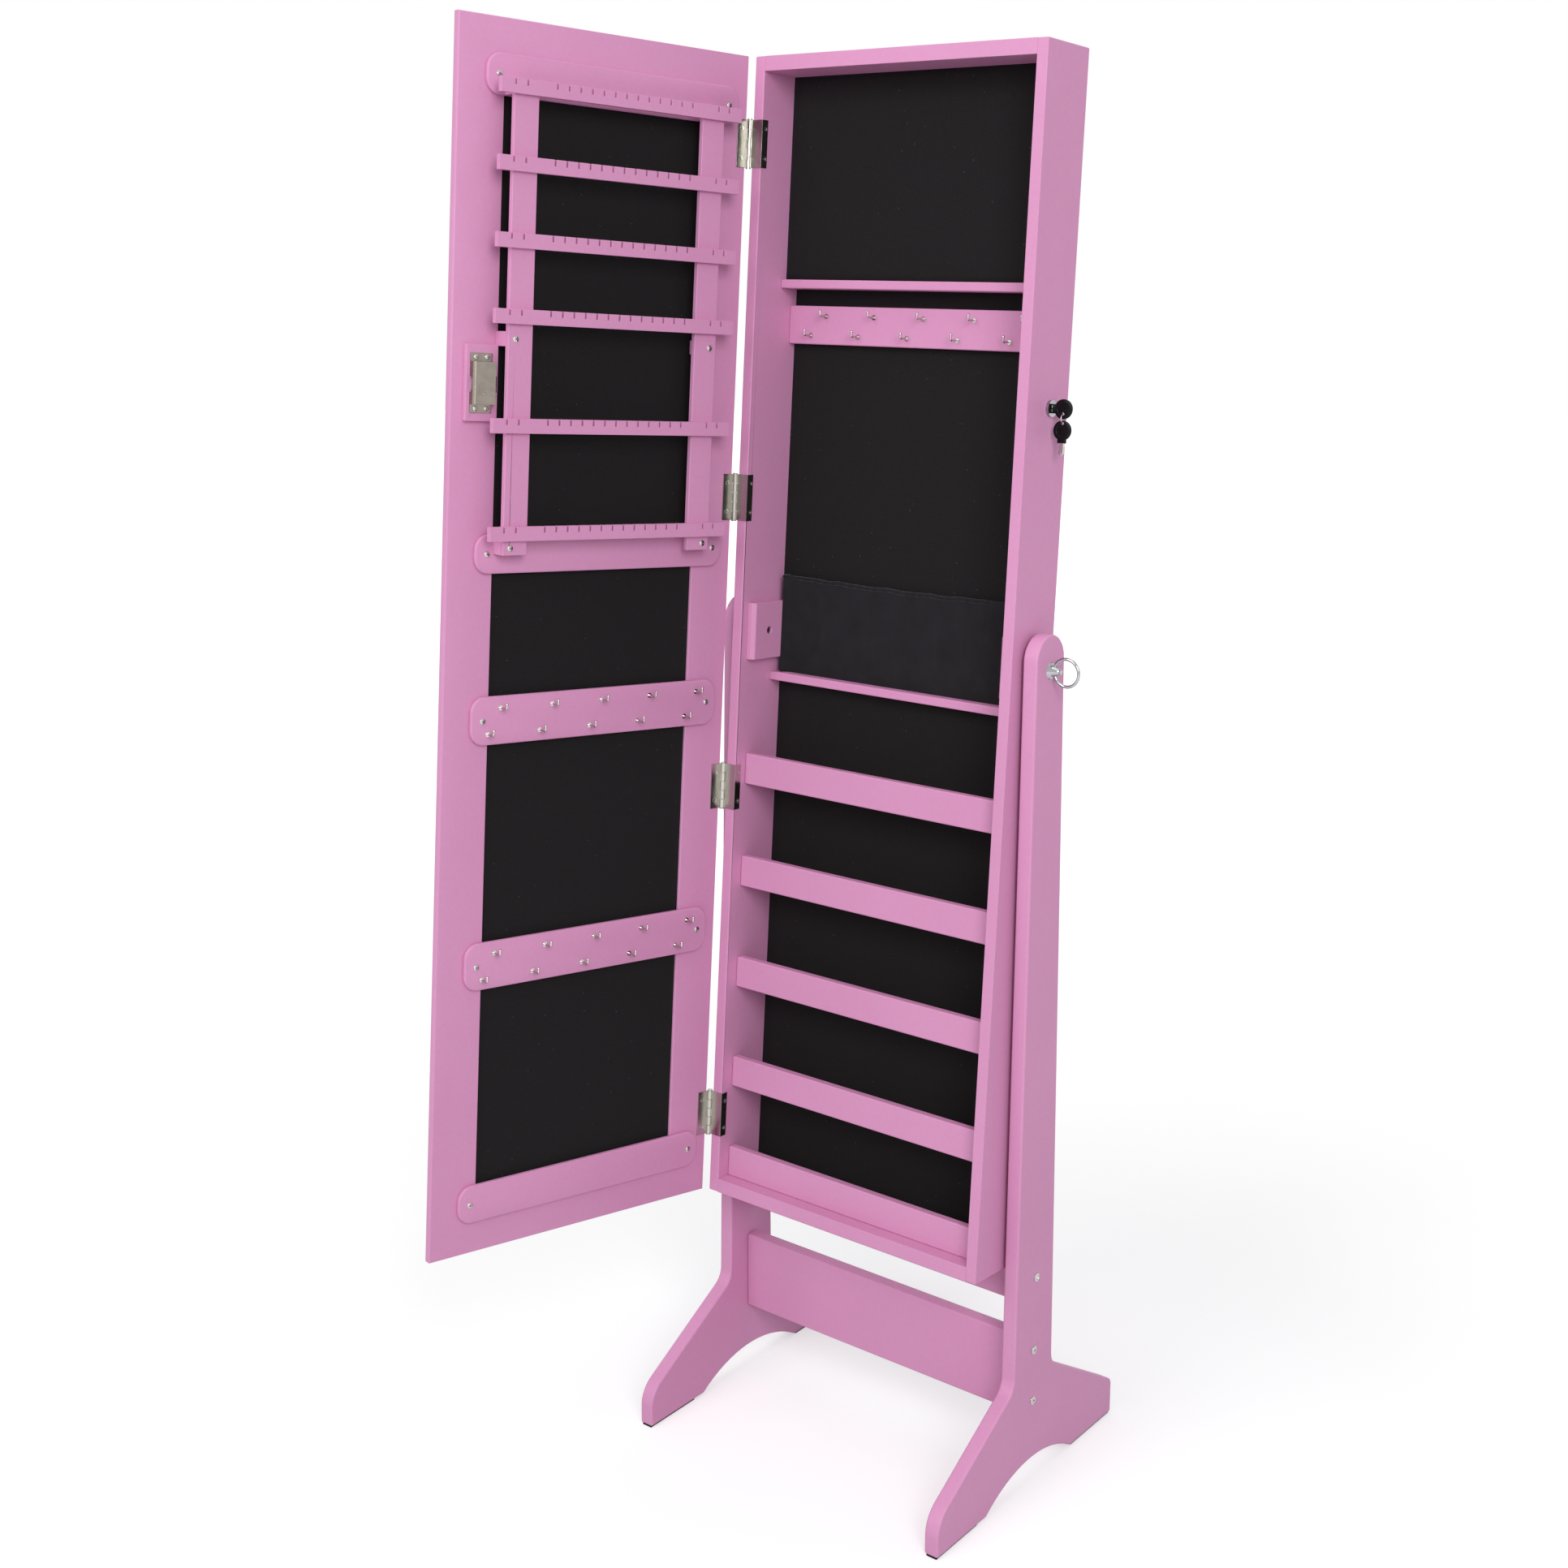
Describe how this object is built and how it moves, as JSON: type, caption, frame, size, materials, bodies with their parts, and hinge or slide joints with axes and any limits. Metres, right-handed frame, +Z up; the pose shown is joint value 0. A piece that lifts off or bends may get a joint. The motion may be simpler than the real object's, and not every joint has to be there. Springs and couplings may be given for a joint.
{
  "type": "standing jewelry armoire",
  "caption": "Free-standing jewelry armoire: a shallow tilting cabinet between side posts, with a mirrored door that carries an earring rack and necklace hooks.",
  "frame": {"origin": "on the floor, straight under the tilt axis, midway between the two posts", "axes": "+Z up, +Y to the back, +X to the right as seen from the front"},
  "size_m": [0.4817, 0.5807, 1.4646],
  "materials": {
    "painted_wood": "satin paint on fibreboard",
    "black_felt": "short-pile felt on board",
    "nickel": "bright nickel plate",
    "pad_felt": "dense felt",
    "key_plastic": "moulded black",
    "mirror_glass": "silvered glass",
    "pouch_cloth": "gathered velour"
  },
  "bodies": {
    "stand": {"left_post": "painted_wood", "right_post": "painted_wood", "lower_stretcher": "painted_wood", "rear_rail": "painted_wood", "stand_screws": "nickel", "foot_pads": "pad_felt"},
    "cabinet": {"left_wall": "painted_wood", "right_wall": "painted_wood", "top_board": "painted_wood", "bottom_board": "painted_wood", "back_panel": "painted_wood", "felt_lining": "black_felt", "earring_board": "black_felt", "upper_shelf": "painted_wood", "hook_rail": "painted_wood", "rail_hooks": "nickel", "middle_shelf": "painted_wood", "necklace_pouch": "pouch_cloth", "tray_floors": "painted_wood", "tray_rails": "painted_wood", "bottom_rail": "painted_wood", "pivot_blocks": "painted_wood", "pivot_inserts": "nickel", "cabinet_leaves": "nickel", "cabinet_leaf_screws": "nickel", "hinge_pins": "nickel", "lock_barrel": "nickel", "lock_nut": "nickel"},
    "door": {"door_frame": "painted_wood", "mirror": "mirror_glass", "felt_board": "black_felt", "strip_1": "painted_wood", "strip_2": "painted_wood", "strip_3": "painted_wood", "strip_4": "painted_wood", "strip_5": "painted_wood", "rack_posts": "painted_wood", "rack_spacers": "painted_wood", "door_screws": "nickel", "slat_1": "painted_wood", "slat_2": "painted_wood", "slat_3": "painted_wood", "slat_4": "painted_wood", "slat_5": "painted_wood", "slat_6": "painted_wood", "upper_necklace_hooks": "nickel", "lower_necklace_hooks": "nickel", "strike_block": "painted_wood", "strike_case": "nickel", "strike_keeper": "nickel", "strike_screws": "nickel", "door_leaves": "nickel", "door_leaf_screws": "nickel"},
    "lock": {"lock_plug": "nickel", "lock_cam": "nickel", "lock_key": "key_plastic"},
    "key_ring": {"key_ring": "nickel"},
    "spare_key": {"spare_key": "key_plastic"},
    "left_knob": {"left_knob": "nickel"},
    "right_knob": {"right_knob": "nickel"}
  },
  "joints": [
    {"name": "cabinet_tilt", "type": "hinge", "parent": "stand", "child": "cabinet", "pos_m": [0, 0, 0.853], "axis": [-1, 0, 0], "range_deg": [0, 26]},
    {"name": "door_swing", "type": "hinge", "parent": "cabinet", "child": "door", "pos_m": [-0.1752, -0.03831, 0.85568], "axis": [0, 0.0698, 0.9976], "range_deg": [-33, 102]},
    {"name": "lock_turn", "type": "hinge", "parent": "cabinet", "child": "lock", "pos_m": [0.172, 0.02136, 1.10111], "axis": [-1, 0, 0], "range_deg": [0, 90]},
    {"name": "key_ring_swing", "type": "hinge", "parent": "lock", "child": "key_ring", "pos_m": [0.187, 0.02105, 1.09663], "axis": [0, 0.9976, -0.0698], "range_deg": [-25, 8]},
    {"name": "spare_key_swing", "type": "hinge", "parent": "key_ring", "child": "spare_key", "pos_m": [0.187, 0.02043, 1.08785], "axis": [0, 0.9976, -0.0698], "range_deg": [-20, 10]},
    {"name": "left_knob_turn", "type": "hinge", "parent": "stand", "child": "left_knob", "pos_m": [-0.193, 0, 0.853], "axis": [-1, 0, 0], "continuous": true},
    {"name": "right_knob_turn", "type": "hinge", "parent": "stand", "child": "right_knob", "pos_m": [0.193, 0, 0.853], "axis": [1, 0, 0], "continuous": true}
  ]
}
